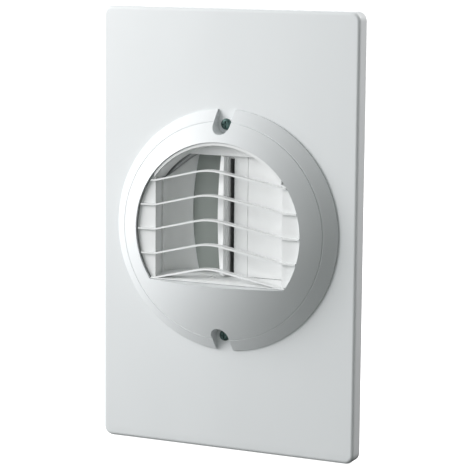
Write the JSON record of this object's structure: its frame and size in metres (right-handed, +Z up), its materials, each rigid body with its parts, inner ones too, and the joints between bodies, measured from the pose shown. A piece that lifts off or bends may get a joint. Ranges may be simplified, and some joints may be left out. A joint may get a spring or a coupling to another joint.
{
  "type": "heat recovery unit",
  "caption": "Through-wall heat recovery unit: outdoor wall plate with louvred round cowl, short wall sleeve, plate exchanger, supply and extract fans, room-side filters.",
  "frame": {"origin": "on the sleeve's axis in the plane of the wall's outer face, which is the back of the wall plate and of the sleeve's flange", "axes": "+Z up, +X to the right seen from outdoors, +Y along the sleeve into the room, so the louvre faces -Y"},
  "size_m": [0.24, 0.1586, 0.38],
  "materials": {
    "white_asa": "fine moulded texture",
    "louvre_white": "satin moulding",
    "shutter_grey": "smooth grey moulding",
    "zinc_dark": "dark passivated zinc",
    "steel": "bright steel",
    "foam_grey": "closed-cell foam",
    "sleeve_grey": "extruded pipe",
    "epp_black": "beaded foam",
    "mesh_black": "moulded mesh",
    "exchanger_aluminium": "rolled foil",
    "abs_grey": "fine moulded texture",
    "tray_white": "vacuum-formed sheet",
    "tube_clear": "silicone",
    "fan_black": "glass-filled moulding",
    "bearing_bronze": "sintered",
    "winding_copper": "enamelled wire",
    "magnet_dark": "ferrite",
    "board_green": "solder resist",
    "component_dark": "moulded components",
    "terminal_grey": "moulded",
    "room_white": "fine moulded texture",
    "filter_media": "pleated non-woven",
    "lens_green": "clear tinted",
    "gland_grey": "polyamide"
  },
  "bodies": {
    "housing": {"wall_plate": "white_asa", "plate_gasket": "foam_grey", "cowl_ring": "white_asa", "louvre_grille": "louvre_white", "exhaust_scoop": "louvre_white", "air_splitter": "louvre_white", "intake_panel": "louvre_white", "shutter_pin": "steel", "shutter_spring": "steel", "cowl_screws": "zinc_dark", "wall_sleeve": "sleeve_grey", "sleeve_flange": "sleeve_grey", "sleeve_screws": "zinc_dark", "outdoor_manifold": "epp_black", "intake_mesh": "mesh_black", "core_shell_upper": "epp_black", "core_shell_lower": "epp_black", "core_frame": "abs_grey", "exchanger_plates": "exchanger_aluminium", "core_seals": "foam_grey", "condensate_tray": "tray_white", "drain_tube": "tube_clear", "fan_bulkhead": "abs_grey", "fan_screws": "zinc_dark", "control_board": "board_green", "board_components": "component_dark", "board_screws": "steel", "terminal_block": "terminal_grey", "humidity_sensor": "board_green", "room_frame": "room_white", "room_frame_screws": "steel", "switch_board": "board_green", "indicator_lens": "lens_green", "cable_gland": "gland_grey", "gland_nut": "gland_grey", "gland_locknut": "gland_grey", "supply_fan_frame": "fan_black", "supply_bearing": "bearing_bronze", "supply_stator": "winding_copper", "extract_fan_frame": "fan_black", "extract_bearing": "bearing_bronze", "extract_stator": "winding_copper"},
    "shutter": {"exhaust_shutter": "shutter_grey"},
    "supply_rotor": {"supply_impeller": "fan_black", "supply_shaft": "steel", "supply_magnet": "magnet_dark"},
    "extract_rotor": {"extract_impeller": "fan_black", "extract_shaft": "steel", "extract_magnet": "magnet_dark"},
    "supply_cassette": {"supply_filter_frame": "room_white", "supply_filter_pad": "filter_media"},
    "extract_cassette": {"extract_filter_frame": "room_white", "extract_filter_pad": "filter_media"},
    "button": {"boost_button": "room_white"}
  },
  "joints": [
    {"name": "shutter_hinge", "type": "hinge", "parent": "housing", "child": "shutter", "pos_m": [-0.0074, 0.002, 0.014], "axis": [0, 0, 1], "range_deg": [0, 45], "stiffness_Nm_per_rad": 0.0003, "springref_deg": -20.05},
    {"name": "supply_spin", "type": "hinge", "parent": "housing", "child": "supply_rotor", "pos_m": [-0.036, 0.0757, 0], "axis": [0, 1, 0], "continuous": true},
    {"name": "extract_spin", "type": "hinge", "parent": "housing", "child": "extract_rotor", "pos_m": [0.036, 0.0757, 0], "axis": [0, 1, 0], "continuous": true},
    {"name": "supply_filter_slide", "type": "slide", "parent": "housing", "child": "supply_cassette", "axis": [0, 1, 0], "range_m": [0, 0.05]},
    {"name": "extract_filter_slide", "type": "slide", "parent": "housing", "child": "extract_cassette", "axis": [0, 1, 0], "range_m": [0, 0.05]},
    {"name": "button_press", "type": "slide", "parent": "housing", "child": "button", "axis": [0, -1, 0], "range_m": [0, 0.0012], "stiffness_N_per_m": 400}
  ]
}
